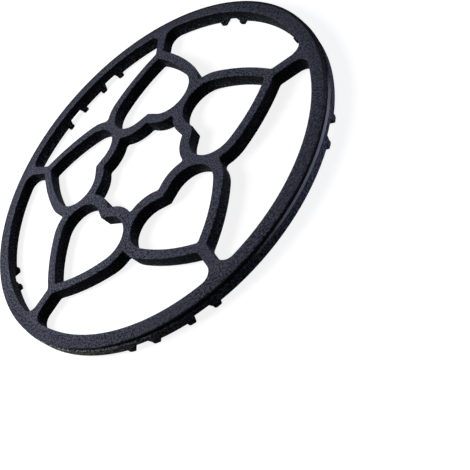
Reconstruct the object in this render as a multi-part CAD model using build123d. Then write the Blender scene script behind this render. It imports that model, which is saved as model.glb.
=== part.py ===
from build123d import *
import math
import os

# Ring and body, in millimetres and degrees
ring_outer_diameter = 191.0
ring_band_width = 7.1
body_thickness = 6.8
wall_draft = 3.9

# Rosette of heart frames, in millimetres and degrees
heart_count = 5
lobe_radius = 12.3
lobe_offset = 10.9
cusp_half_angle = 65.0
shared_web = 4.8
star_web = 5.8
lobe_web = 5.3
tip_web = 4.3
hole_side_radius = 74.5
frame_side_radius = 98.0

# Spokes from the heart tips to the ring, in millimetres
spoke_length = 14.9
spoke_width = 5.0

# Corner roundings, in millimetres
spoke_fillet_radius = 5.3
notch_fillet_radius = 1.5
elbow_fillet_radius = 1.5
tip_fillet_radius = 1.0
cusp_fillet_radius = 1.0
star_fillet_radius = 1.2
edge_chamfer = 0.35

# Groove and ledge round the outer wall, in millimetres
groove_depth = 0.7
groove_drop = 2.3
ledge_width = 0.5
ledge_slope = 0.4

# Seats under the ring for the arms of the hob, in millimetres and degrees
five_arm_count = 5
four_arm_count = 4
seat_turn = 8.8
nub_spacing = 12.6
nub_width = 3.5
nub_height = 1.9
nub_chamfer = 0.6
recess_width = 7.6
recess_depth = 1.9

# Sizes that follow from the ones above
ring_outer_radius = ring_outer_diameter / 2
ring_inner_radius = ring_outer_radius - ring_band_width
heart_half_angle = 180 / heart_count
frame_tip_radius = ring_inner_radius - spoke_length
hole_tip_radius = frame_tip_radius - tip_web
underside_height = nub_height
top_height = underside_height + body_thickness


def polar_point(radius, angle):
    turn = math.radians(angle)
    return Vector(radius * math.cos(turn), radius * math.sin(turn))


def lobe_center():
    # Centre of a heart's upper lobe, clear of the heart's axis and of its neighbour
    half_angle = math.radians(heart_half_angle)
    neighbour_gap = lobe_radius + shared_web / 2
    reach = (neighbour_gap + lobe_offset * math.cos(half_angle)) / math.sin(half_angle)
    return Vector(reach, lobe_offset)


def side_center(end, side_radius, corner_radius):
    # Centre of the side arc that ends at the given point and runs smoothly off the lobe
    lobe = lobe_center()
    span = end - lobe
    reach = side_radius - corner_radius
    along = (reach**2 - side_radius**2 + span.length**2) / (2 * span.length)
    across = math.sqrt(reach**2 - along**2)
    direction = span.normalized()
    normal = Vector(direction.Y, -direction.X)
    return lobe + direction * along + normal * across


def side_join(center, side_radius):
    # Point where the side arc runs into the lobe
    return center + (lobe_center() - center).normalized() * side_radius


def clockwise_arc(center, start, end):
    start_angle = math.degrees(math.atan2(start.Y - center.Y, start.X - center.X))
    end_angle = math.degrees(math.atan2(end.Y - center.Y, end.X - center.X))
    sweep = (start_angle - end_angle) % 360
    return CenterArc(center, (start - center).length, start_angle, -sweep)


def round_corner(face, point, radius):
    corner = face.vertices().sort_by_distance(point).first
    return fillet(corner, radius)


def heart_hole():
    lobe = lobe_center()
    cusp_angle = math.radians(cusp_half_angle)
    cusp_reach = (lobe_radius - lobe.Y * math.cos(cusp_angle)) / math.sin(cusp_angle)
    cusp = Vector(lobe.X - cusp_reach, 0)
    tip = Vector(hole_tip_radius, 0)
    lobe_start = lobe - Vector(math.sin(cusp_angle), math.cos(cusp_angle)) * lobe_radius
    center = side_center(tip, hole_side_radius, lobe_radius)
    join = side_join(center, hole_side_radius)
    half = Curve() + Line(cusp, lobe_start)
    half += clockwise_arc(lobe, lobe_start, join)
    half += clockwise_arc(center, join, tip)
    face = make_face(half + mirror(half, about=Plane.XZ))
    face = round_corner(face, cusp, cusp_fillet_radius)
    return round_corner(face, tip, tip_fillet_radius)


def outer_opening():
    # Opening between two hearts, two spokes and the ring, on the line between the hearts
    lobe = lobe_center()
    frame_lobe_radius = lobe_radius + lobe_web
    middle_line = polar_point(1, heart_half_angle)
    neighbour_gap = lobe_radius + shared_web / 2
    notch_reach = lobe.dot(middle_line) + math.sqrt(frame_lobe_radius**2 - neighbour_gap**2)
    notch = middle_line * notch_reach
    elbow = Vector(frame_tip_radius, spoke_width / 2)
    ring_corner_angle = math.degrees(math.asin(spoke_width / 2 / ring_inner_radius))
    ring_corner = polar_point(ring_inner_radius, ring_corner_angle)
    center = side_center(elbow, frame_side_radius, frame_lobe_radius)
    join = side_join(center, frame_side_radius)
    half = Curve() + clockwise_arc(lobe, notch, join)
    half += clockwise_arc(center, join, elbow)
    half += Line(elbow, ring_corner)
    middle_plane = Plane(origin=(0, 0, 0), x_dir=middle_line, z_dir=middle_line.cross(Vector(0, 0, 1)))
    ring_sweep = 2 * (heart_half_angle - ring_corner_angle)
    ring_arc = CenterArc((0, 0), ring_inner_radius, ring_corner_angle, ring_sweep)
    face = make_face(half + mirror(half, about=middle_plane) + ring_arc)
    face = round_corner(face, notch, notch_fillet_radius)
    far_angle = 2 * heart_half_angle
    elbow_angle = math.degrees(math.atan2(elbow.Y, elbow.X))
    for angle in (elbow_angle, far_angle - elbow_angle):
        face = round_corner(face, polar_point(elbow.length, angle), elbow_fillet_radius)
    for angle in (ring_corner_angle, far_angle - ring_corner_angle):
        face = round_corner(face, polar_point(ring_inner_radius, angle), spoke_fillet_radius)
    return face


def star_opening():
    # Middle opening, bulged inwards by every lobe of every heart
    lobe = lobe_center()
    face = Circle(lobe.length)
    lobe_angle = math.degrees(math.atan2(lobe.Y, lobe.X))
    for side in (-1, 1):
        lobe_spots = PolarLocations(lobe.length, heart_count, start_angle=side * lobe_angle)
        face -= lobe_spots * Circle(lobe_radius + star_web)
    return fillet(face.vertices(), star_fillet_radius)


def pierced_disc():
    plan = Circle(ring_outer_radius)
    hearts = PolarLocations(0, heart_count)
    plan -= hearts * heart_hole()
    plan -= hearts * outer_opening()
    plan -= star_opening()
    body = Pos(0, 0, underside_height) * extrude(plan, body_thickness)
    # Every wall but the outermost leans, so the bars are widest at the top face
    walls = body.faces().filter_by(Axis.Z, reverse=True).sort_by(SortBy.AREA)[:-1]
    body = draft(walls, Plane(origin=(0, 0, top_height)), -wall_draft)
    top_edges = body.edges().group_by(Axis.Z)[-1]
    return chamfer(top_edges, edge_chamfer)


def rim_groove():
    # Groove that undercuts the top face, and the sloping ledge where the wider wall starts
    land_radius = ring_outer_radius - ledge_width
    groove_bottom = top_height - groove_drop
    points = [
        (ring_outer_radius, top_height),
        (land_radius - edge_chamfer, top_height),
        (land_radius, top_height - edge_chamfer),
        (land_radius - groove_depth, groove_bottom),
        (ring_outer_radius, groove_bottom - ledge_slope),
    ]
    profile = Plane.XZ * make_face(Polyline(points, close=True))
    return revolve(profile, Axis.Z)


def seat_angles():
    # The seats for five arms and for four arms share the one where both patterns meet
    five_arm_start = seat_turn + 180 / five_arm_count
    five = [five_arm_start + 360 * index / five_arm_count for index in range(five_arm_count)]
    four = [seat_turn + 360 * index / four_arm_count for index in range(four_arm_count)]
    return sorted({round(angle % 360, 6) for angle in five + four})


def seat_block(points):
    # Straight bar of the given outline, seen along the radius, cut to the ring's band
    bar = extrude(Plane.YZ * make_face(Polyline(points, close=True)), ring_outer_diameter)
    band = extrude(Circle(ring_outer_radius) - Circle(ring_inner_radius), top_height)
    return bar & band


def seat_recess():
    half_width = recess_width / 2
    half_gap = (nub_spacing - nub_width) / 2
    recess_top = underside_height + recess_depth
    points = [
        (-half_gap, underside_height),
        (half_gap, underside_height),
        (half_width, recess_top),
        (-half_width, recess_top),
    ]
    return seat_block(points)


def seat_nubs():
    half_width = nub_width / 2
    half_tip = half_width - nub_chamfer
    points = [
        (-half_tip, 0),
        (half_tip, 0),
        (half_width, nub_chamfer),
        (half_width, underside_height),
        (-half_width, underside_height),
        (-half_width, nub_chamfer),
    ]
    half_spacing = nub_spacing / 2
    left = [(x + half_spacing, z) for x, z in points]
    right = [(x - half_spacing, z) for x, z in points]
    return seat_block(left) + seat_block(right)


def pan_support():
    body = pierced_disc() - rim_groove()
    recess = seat_recess()
    nubs = seat_nubs()
    for angle in seat_angles():
        body -= Rot(0, 0, angle) * recess
    for angle in seat_angles():
        body += Rot(0, 0, angle) * nubs
    return body


os.makedirs("parts", exist_ok=True)
part = pan_support()
part.label = "pan_support"
export_step(part, "parts/pan_support.step")
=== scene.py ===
import math

import bpy
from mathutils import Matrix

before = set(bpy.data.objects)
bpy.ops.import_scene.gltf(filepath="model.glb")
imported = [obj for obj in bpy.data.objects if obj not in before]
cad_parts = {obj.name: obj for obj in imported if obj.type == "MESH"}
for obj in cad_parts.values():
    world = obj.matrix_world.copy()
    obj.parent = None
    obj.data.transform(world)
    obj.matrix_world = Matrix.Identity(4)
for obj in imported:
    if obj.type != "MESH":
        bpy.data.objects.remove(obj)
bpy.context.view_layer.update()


# ---- The casting: ring, spokes and hearts in one piece ----------------------------------------
# The real piece is grey iron poured into a sand mould and knocked out whole, then blacked and
# baked, so it has no paint film and no polished face. It keeps the solid it came with.

def linear(hex_colour):
    """An sRGB hex colour as the linear values that a shader takes."""
    channels = [int(hex_colour[place:place + 2], 16) / 255 for place in (1, 3, 5)]
    return [c / 12.92 if c <= 0.04045 else ((c + 0.055) / 1.055) ** 2.4 for c in channels] + [1.0]


def add_node(tree, kind, settings=None, links=None):
    """Adds a node, sets its properties and inputs, and links inputs, each by name or by place."""
    node = tree.nodes.new(kind)
    for name, value in (settings or {}).items():
        if isinstance(name, str) and hasattr(node, name):
            setattr(node, name, value)
        else:
            node.inputs[name].default_value = value
    for name, socket in (links or {}).items():
        tree.links.new(socket, node.inputs[name])
    return node


# Foundry sand is about 0.3 mm across. Its grit has that size in the relief, but in the colour it
# is too fine to show in a view of the whole ring, so the speckle is drawn at 0.8 mm. The skin is
# the slow roll of the mould's face, and the blotches are wear. The rim counts from 89 mm out, and
# its brink is about the last millimetre of the top face.
grain_mm = 0.8
grit_mm = 0.35
casting_skin_mm = 7.0
blotch_mm = 28.0
full_height_mm = 8.7
rim_start_mm = 89.0
rim_full_mm = 91.0
brink_start_mm = 93.4
brink_full_mm = 94.2

black_grain = "#171822"
pale_grain = "#5e616f"
worn_black = "#3b3c48"
painted_light_dark_grain = "#1a1917"
painted_light_pale_grain = "#9a978f"
ledge_highlight_grey = "#b2b0ae"

# Degrees round the ring, anticlockwise from above, with how far either side a stretch is full and
# where it ends: the stretch whose ledge gets a painted highlight, the one whose wall is painted
# lighter as painted light, and the one where the painted shade is deepest
ledge_highlight_stretch = {"angle": 322, "full": 12, "end": 27}
painted_light_stretch = {"angle": 232, "full": 12, "end": 42}
painted_shade_stretch = {"angle": 36, "full": 34, "end": 75}

# What the deepest painted shade leaves of the iron's tone
tone_left_under_painted_shade = 0.04

# Tones and shares by height, as pairs of millimetres above the floor and tone. The underside
# lies at 1.9 mm, the ledge at 6.0 to 6.4 mm, and the groove from there to the top edge. The tones
# are painted light and shade: painted shade makes the inner walls far darker than the top face,
# darkest just under the top edge, and darkens the rim's groove and underside, and painted
# highlights lighten the top edges and the rim's ledge. The rim's wall is darker towards the
# bottom, and the ring's top face is a little darker than the middle's.
inner_painted_light_tones = [
    (0.0, 0.20), (2.4, 0.30), (3.4, 0.26), (4.4, 0.17), (6.0, 0.09), (7.8, 0.03), (8.40, 0.03),
    (8.58, 1.0), (8.66, 1.0), (8.70, 0.87)]
rim_painted_light_tones = [
    (0.0, 0.60), (1.80, 0.80), (1.86, 0.28), (1.96, 0.28), (2.04, 0.85), (2.8, 0.95),
    (6.0, 0.95), (6.10, 1.1), (6.28, 1.1), (6.34, 0.06),
    (8.34, 0.06), (8.50, 1.0), (8.66, 0.90), (8.70, 0.71)]
ledge_highlight_height = [(0.0, 0.0), (5.88, 0.0), (5.96, 1.0), (6.29, 1.0), (6.34, 0.0), (8.70, 0.0)]
below_ledge_height = [(0.0, 0.0), (1.96, 0.0), (2.04, 1.0), (5.9, 0.8), (6.4, 0.0), (8.70, 0.0)]
wall_height = [(0.0, 1.0), (8.3, 1.0), (8.45, 0.0), (8.70, 0.0)]
below_top_height = [(0.0, 1.0), (8.52, 1.0), (8.66, 0.0), (8.70, 0.0)]

# A Mix node's colour sockets go by place, because its number sockets have the same names
first_colour = 6
second_colour = 7
mixed_colour = 2


def follow_height(tree, height, pairs):
    """A number that follows the height above the floor, from pairs of millimetres and number."""
    largest = 4.0  # a ramp's colours stop at 1, so the numbers go in as shares of this
    share = add_node(tree, "ShaderNodeMath", {"operation": "DIVIDE", 1: full_height_mm / 1000},
                     {0: height})
    ramp = add_node(tree, "ShaderNodeValToRGB", {}, {"Fac": share.outputs["Value"]})
    first, last = ramp.color_ramp.elements
    first.position = pairs[0][0] / full_height_mm
    first.color = [pairs[0][1] / largest] * 3 + [1.0]
    last.position = pairs[-1][0] / full_height_mm
    last.color = [pairs[-1][1] / largest] * 3 + [1.0]
    for millimetres, number in pairs[1:-1]:
        between = ramp.color_ramp.elements.new(millimetres / full_height_mm)
        between.color = [number / largest] * 3 + [1.0]
    scaled = add_node(tree, "ShaderNodeMath", {"operation": "MULTIPLY", 1: largest},
                      {0: ramp.outputs["Color"]})
    return scaled.outputs["Value"]


def share_facing(tree, outward, angle, full, end):
    """One where the ring faces the angle, to full degrees either side, and nothing past end."""
    turn = math.radians(angle)
    toward = add_node(tree, "ShaderNodeVectorMath",
                      {"operation": "DOT_PRODUCT", 1: (math.cos(turn), math.sin(turn), 0.0)},
                      {0: outward})
    share = add_node(tree, "ShaderNodeMapRange",
                     {"From Min": math.cos(math.radians(end)),
                      "From Max": math.cos(math.radians(full))},
                     {"Value": toward.outputs["Value"]})
    return share.outputs["Result"]


def grain_colours(tree, grain, dark, pale, dark_up_to, pale_from):
    """The colours of single grains: dark in the noise's hollows and pale on its peaks."""
    colours = add_node(tree, "ShaderNodeValToRGB", {}, {"Fac": grain})
    hollow, peak = colours.color_ramp.elements
    hollow.position = dark_up_to
    hollow.color = linear(dark)
    peak.position = pale_from
    peak.color = linear(pale)
    return colours.outputs["Color"]


def blacked_cast_iron():
    # Sand-cast iron under a baked black: dry, blue-grey, with a fine sandy sparkle from the
    # mould's grit and a few patches worn smoother. Painted light and shade lie on it: the walls and
    # the rim's groove are painted far darker than the flat top, the top's edges carry painted
    # highlights, and single grains on the walls are painted as glints. The painted shade is deepest
    # at the far right, on the rim's wall and on the brink of its top face. At the near right the
    # ledge under the groove carries a painted highlight, a bare grey line, and at the near left the
    # wall below the ledge is painted lighter and sandy grey, as painted light from that side.
    material = bpy.data.materials.new("blacked_sand_cast_iron")
    material.use_nodes = True
    tree = material.node_tree
    tree.nodes.clear()
    place = add_node(tree, "ShaderNodeTexCoord").outputs["Object"]
    grain = add_node(tree, "ShaderNodeTexNoise",
                     {"Scale": 1000 / grain_mm, "Detail": 2.0, "Roughness": 0.6},
                     {"Vector": place}).outputs["Fac"]
    grit = add_node(tree, "ShaderNodeTexNoise", {"Scale": 1000 / grit_mm, "Detail": 1.0},
                    {"Vector": place}).outputs["Fac"]
    skin = add_node(tree, "ShaderNodeTexNoise", {"Scale": 1000 / casting_skin_mm, "Detail": 3.0},
                    {"Vector": place}).outputs["Fac"]
    blotch = add_node(tree, "ShaderNodeTexNoise", {"Scale": 1000 / blotch_mm, "Detail": 2.0},
                      {"Vector": place}).outputs["Fac"]

    # Where on the casting a point lies: how high, how near the rim, and on which side
    height = add_node(tree, "ShaderNodeSeparateXYZ", {}, {"Vector": place}).outputs["Z"]
    level = add_node(tree, "ShaderNodeVectorMath", {"operation": "MULTIPLY", 1: (1.0, 1.0, 0.0)},
                     {0: place}).outputs["Vector"]
    reach = add_node(tree, "ShaderNodeVectorMath", {"operation": "LENGTH"},
                     {0: level}).outputs["Value"]
    outward = add_node(tree, "ShaderNodeVectorMath", {"operation": "NORMALIZE"},
                       {0: level}).outputs["Vector"]
    rim = add_node(tree, "ShaderNodeMapRange",
                   {"From Min": rim_start_mm / 1000, "From Max": rim_full_mm / 1000},
                   {"Value": reach}).outputs["Result"]
    walls = follow_height(tree, height, wall_height)
    ledge_at_highlight = add_node(tree, "ShaderNodeMath", {"operation": "MULTIPLY"},
                             {0: follow_height(tree, height, ledge_highlight_height),
                              1: share_facing(tree, outward, **ledge_highlight_stretch)})
    ledge_highlight_share = add_node(tree, "ShaderNodeMath", {"operation": "MULTIPLY"},
                            {0: ledge_at_highlight.outputs["Value"], 1: rim})
    painted_light_side = add_node(tree, "ShaderNodeMath", {"operation": "MULTIPLY"},
                         {0: follow_height(tree, height, below_ledge_height),
                          1: share_facing(tree, outward, **painted_light_stretch)})
    painted_light_share = add_node(tree, "ShaderNodeMath", {"operation": "MULTIPLY"},
                          {0: painted_light_side.outputs["Value"], 1: rim})
    brink = add_node(tree, "ShaderNodeMapRange",
                     {"From Min": brink_start_mm / 1000, "From Max": brink_full_mm / 1000},
                     {"Value": reach})
    wall_or_brink = add_node(tree, "ShaderNodeMath", {"operation": "MAXIMUM"},
                             {0: follow_height(tree, height, below_top_height),
                              1: brink.outputs["Result"]})
    painted_shade_side = add_node(tree, "ShaderNodeMath", {"operation": "MULTIPLY"},
                          {0: wall_or_brink.outputs["Value"],
                           1: share_facing(tree, outward, **painted_shade_stretch)})
    painted_shade_share = add_node(tree, "ShaderNodeMath", {"operation": "MULTIPLY"},
                           {0: painted_shade_side.outputs["Value"], 1: rim})

    # How light the black is there: painted light and shade by height, slow clouds, and painted
    # glints on the walls' single grains
    painted_tone_by_height = add_node(tree, "ShaderNodeMix", {"data_type": "FLOAT"},
                    {"Factor": rim,
                     "A": follow_height(tree, height, inner_painted_light_tones),
                     "B": follow_height(tree, height, rim_painted_light_tones)})
    cloud = add_node(tree, "ShaderNodeMapRange",
                     {"From Min": 0.3, "From Max": 0.7, "To Min": 0.85, "To Max": 1.12},
                     {"Value": blotch})
    # Painted glints: on the walls the grain's peaks are painted lighter, up to three times on the
    # inner walls and less on the rim's wall
    inner_glint = add_node(tree, "ShaderNodeMapRange",
                           {"From Min": 0.50, "From Max": 0.64, "To Min": 0.35, "To Max": 3.0},
                           {"Value": grain})
    rim_glint = add_node(tree, "ShaderNodeMapRange",
                         {"From Min": 0.44, "From Max": 0.64, "To Min": 0.65, "To Max": 1.6},
                         {"Value": grain})
    glint = add_node(tree, "ShaderNodeMix", {"data_type": "FLOAT"},
                     {"Factor": rim,
                      "A": inner_glint.outputs["Result"],
                      "B": rim_glint.outputs["Result"]})
    wall_glint = add_node(tree, "ShaderNodeMix", {"data_type": "FLOAT", "A": 1.0},
                          {"Factor": walls, "B": glint.outputs["Result"]})
    cloudy_painted_tone = add_node(tree, "ShaderNodeMath", {"operation": "MULTIPLY"},
                           {0: cloud.outputs["Result"], 1: painted_tone_by_height.outputs["Result"]})
    glinting_painted_tone = add_node(tree, "ShaderNodeMath", {"operation": "MULTIPLY"},
                             {0: cloudy_painted_tone.outputs["Value"], 1: wall_glint.outputs["Result"]})
    # Painted shade: at the far right the rim's wall and the brink of its top face go down to a
    # twenty-fifth of their tone
    painted_shade_factor = add_node(tree, "ShaderNodeMapRange",
                          {"To Min": 1.0, "To Max": tone_left_under_painted_shade},
                          {"Value": painted_shade_share.outputs["Value"]})
    tone = add_node(tree, "ShaderNodeMath", {"operation": "MULTIPLY"},
                    {0: glinting_painted_tone.outputs["Value"], 1: painted_shade_factor.outputs["Result"]})

    # Its colour: black grains, smoother where worn, then the wall painted lighter at the near left
    # and the painted highlight on the ledge at the near right
    smoothness = add_node(tree, "ShaderNodeMapRange",
                          {"From Min": 0.50, "From Max": 0.65, "To Min": 0.0, "To Max": 0.45},
                          {"Value": blotch})
    mottle = add_node(tree, "ShaderNodeMix",
                      {"data_type": "RGBA", second_colour: linear(worn_black)},
                      {"Factor": smoothness.outputs["Result"],
                       first_colour: grain_colours(tree, grain, black_grain, pale_grain,
                                                   dark_up_to=0.38, pale_from=0.64)})
    shaded = add_node(tree, "ShaderNodeVectorMath", {"operation": "SCALE"},
                      {0: mottle.outputs[mixed_colour], "Scale": tone.outputs["Value"]})
    # Painted light: the near left of the rim's wall below the ledge is painted a lighter, sandy
    # grey
    painted_light_wall = add_node(tree, "ShaderNodeMix", {"data_type": "RGBA"},
                     {"Factor": painted_light_share.outputs["Value"],
                      first_colour: shaded.outputs["Vector"],
                      second_colour: grain_colours(tree, grain, painted_light_dark_grain, painted_light_pale_grain,
                                                   dark_up_to=0.42, pale_from=0.62)})
    # Painted highlight: a light grey line on the ledge at the near right
    ledge_highlighted = add_node(tree, "ShaderNodeMix",
                      {"data_type": "RGBA", second_colour: linear(ledge_highlight_grey)},
                      {"Factor": ledge_highlight_share.outputs["Value"],
                       first_colour: painted_light_wall.outputs[mixed_colour]})

    # Its gloss and relief: a dry black with next to no gloss, peaks a little smoother than hollows,
    # and skin, grains and grit one on the other
    roughness = add_node(tree, "ShaderNodeMapRange",
                         {"From Min": 0.3, "From Max": 0.7, "To Min": 0.85, "To Max": 0.6},
                         {"Value": grain})
    skin_bump = add_node(tree, "ShaderNodeBump", {"Strength": 0.5, "Distance": 0.0003},
                         {"Height": skin})
    grain_bump = add_node(tree, "ShaderNodeBump", {"Strength": 0.6, "Distance": 0.00012},
                          {"Height": grain, "Normal": skin_bump.outputs["Normal"]})
    grit_bump = add_node(tree, "ShaderNodeBump", {"Strength": 0.4, "Distance": 0.00005},
                         {"Height": grit, "Normal": grain_bump.outputs["Normal"]})
    iron = add_node(tree, "ShaderNodeBsdfPrincipled",
                    {"Metallic": 0.0, "Specular IOR Level": 0.02},
                    {"Base Color": ledge_highlighted.outputs[mixed_colour],
                     "Roughness": roughness.outputs["Result"],
                     "Normal": grit_bump.outputs["Normal"]})
    add_node(tree, "ShaderNodeOutputMaterial", {}, {"Surface": iron.outputs["BSDF"]})
    return material


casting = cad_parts["pan_support"]
casting.data.materials.clear()
casting.data.materials.append(blacked_cast_iron())


# ---- The floor it lies on --------------------------------------------------------------------
# A plain pale sheet, larger than any view. It reads as white to the camera and to reflections,
# fully so further out, and keeps the soft shadow of the casting.

floor_reach = 4.0
near_glow = 0.86
far_glow = 1.0
near_glow_mm = 90.0
far_glow_mm = 420.0
tone_to_light = 0.10
tone_to_eye = 0.35


def share_seen(tree):
    """One for a ray that the camera, a reflection or a clear piece looks along, else nothing."""
    rays = add_node(tree, "ShaderNodeLightPath").outputs
    mirrored = add_node(tree, "ShaderNodeMath", {"operation": "MAXIMUM"},
                        {0: rays["Is Camera Ray"], 1: rays["Is Glossy Ray"]})
    seen = add_node(tree, "ShaderNodeMath", {"operation": "MAXIMUM"},
                    {0: mirrored.outputs["Value"], 1: rays["Is Transmission Ray"]})
    return seen.outputs["Value"]


def pale_sheet():
    # Matt card: it gives the eye an even white that only the casting's shadow breaks, and gives
    # almost no light back to the casting's walls.
    material = bpy.data.materials.new("pale_floor_sheet")
    material.use_nodes = True
    tree = material.node_tree
    tree.nodes.clear()
    seen = share_seen(tree)
    place = add_node(tree, "ShaderNodeTexCoord").outputs["Object"]
    reach = add_node(tree, "ShaderNodeVectorMath", {"operation": "LENGTH"}, {0: place})
    paleness = add_node(tree, "ShaderNodeMapRange",
                        {"From Min": near_glow_mm / 1000, "From Max": far_glow_mm / 1000,
                         "To Min": near_glow, "To Max": far_glow},
                        {"Value": reach.outputs["Value"]})
    strength = add_node(tree, "ShaderNodeMath", {"operation": "MULTIPLY"},
                        {0: seen, 1: paleness.outputs["Result"]})
    tone = add_node(tree, "ShaderNodeMapRange", {"To Min": tone_to_light, "To Max": tone_to_eye},
                    {"Value": seen})
    card = add_node(tree, "ShaderNodeBsdfDiffuse", {}, {"Color": tone.outputs["Result"]})
    glow = add_node(tree, "ShaderNodeEmission", {}, {"Strength": strength.outputs["Value"]})
    both = add_node(tree, "ShaderNodeAddShader", {},
                    {0: card.outputs["BSDF"], 1: glow.outputs["Emission"]})
    add_node(tree, "ShaderNodeOutputMaterial", {}, {"Surface": both.outputs["Shader"]})
    return material


corners = [(x * floor_reach, y * floor_reach, 0.0) for x, y in ((-1, -1), (1, -1), (1, 1), (-1, 1))]
floor_mesh = bpy.data.meshes.new("floor")
floor_mesh.from_pydata(corners, [], [(0, 1, 2, 3)])
floor_mesh.materials.append(pale_sheet())
floor = bpy.data.objects.new("floor", floor_mesh)
bpy.context.scene.collection.objects.link(floor)


# ---- Studio light ----------------------------------------------------------------------------
# A soft box close above the left of the ring, which leaves the right of the top face darker, a
# wide weak bluish ceiling, and a low box at the right that rakes along the rim's outer wall. The
# room is white to the eye and in reflections, and adds almost no light of its own.

def soft_box(name, azimuth, elevation, distance, width, height, watts, colour):
    """A lamp at that distance in metres from the middle of the ring, and turned to face it."""
    lamp = bpy.data.lights.new(name, "AREA")
    lamp.shape = "RECTANGLE"
    lamp.size = width
    lamp.size_y = height
    lamp.energy = watts
    lamp.color = linear(colour)[:3]
    box = bpy.data.objects.new(name, lamp)
    turn, lift = math.radians(azimuth), math.radians(elevation)
    box.location = (distance * math.cos(lift) * math.cos(turn),
                    distance * math.cos(lift) * math.sin(turn),
                    distance * math.sin(lift))
    box.rotation_euler = (math.radians(90 - elevation), 0.0, turn + math.radians(90))
    box.visible_camera = False
    bpy.context.scene.collection.objects.link(box)


neutral_light = "#ffffff"
sky_light = "#d8e2ff"
room_light = 0.02
room_white = 1.0

soft_box("left_box", azimuth=180, elevation=50, distance=0.30, width=0.20, height=0.20,
         watts=1.1, colour=neutral_light)
soft_box("ceiling_box", azimuth=90, elevation=89, distance=3.0, width=2.0, height=2.0,
         watts=2.2, colour=sky_light)
soft_box("low_right_box", azimuth=20, elevation=6, distance=0.7, width=0.3, height=0.10,
         watts=4.3, colour=sky_light)

room = bpy.data.worlds.new("pale_room")
bpy.context.scene.world = room
room.use_nodes = True
room.node_tree.nodes.clear()
room_strength = add_node(room.node_tree, "ShaderNodeMapRange",
                         {"To Min": room_light, "To Max": room_white},
                         {"Value": share_seen(room.node_tree)})
room_glow = add_node(room.node_tree, "ShaderNodeBackground", {"Color": linear(neutral_light)},
                     {"Strength": room_strength.outputs["Result"]})
add_node(room.node_tree, "ShaderNodeOutputWorld", {},
         {"Surface": room_glow.outputs["Background"]})

bpy.context.scene.view_settings.view_transform = "Standard"


# ---- Camera ----------------------------------------------------------------------------------
# A 52 mm lens above the near side of the ring, a little shifted, so that the ring sits at the
# left and bottom of the frame.

view = bpy.data.cameras.new("camera")
view.sensor_width = 36.0
view.lens = 51.946
view.shift_x = 0.1596
view.shift_y = 0.1532
view.clip_start = 0.01
camera = bpy.data.objects.new("camera", view)
camera.location = (0.11105, -0.25018, 0.18958)
camera.rotation_euler = [math.radians(turn) for turn in (32.722, 36.722, -8.667)]
bpy.context.scene.collection.objects.link(camera)
bpy.context.scene.camera = camera
